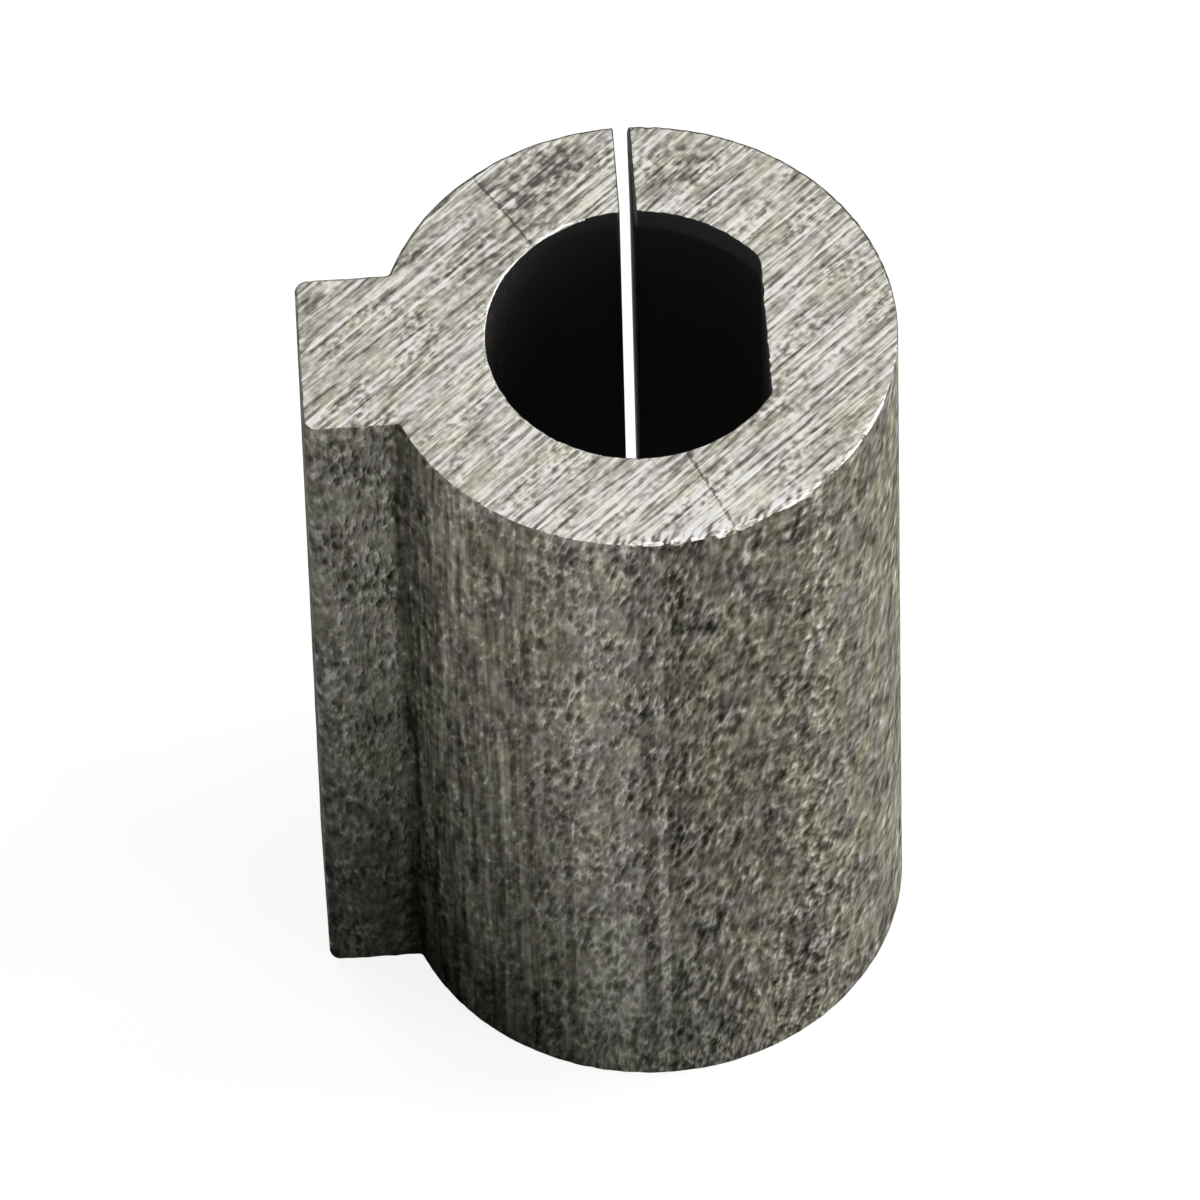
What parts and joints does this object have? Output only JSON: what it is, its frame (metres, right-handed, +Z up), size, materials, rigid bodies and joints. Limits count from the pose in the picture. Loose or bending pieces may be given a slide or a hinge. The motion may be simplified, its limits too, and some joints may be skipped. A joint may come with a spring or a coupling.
{
  "type": "shaft adapter sleeve",
  "caption": "Split cylindrical sleeve with a D bore and a long outside key, which seats a flatted shaft in a wider keyed hub.",
  "frame": {"origin": "on the bore's axis, at the lower end face", "axes": "+Z up along the bore's axis; +X from the axis towards the bore's flat, so the key stands out towards -X; the slit opens towards +Y"},
  "size_m": [0.0161, 0.014, 0.025],
  "materials": {
    "steel": "dull drawn steel with sawn, scratched end faces"
  },
  "bodies": {
    "root": {"adapter_sleeve": "steel"}
  },
  "joints": []
}
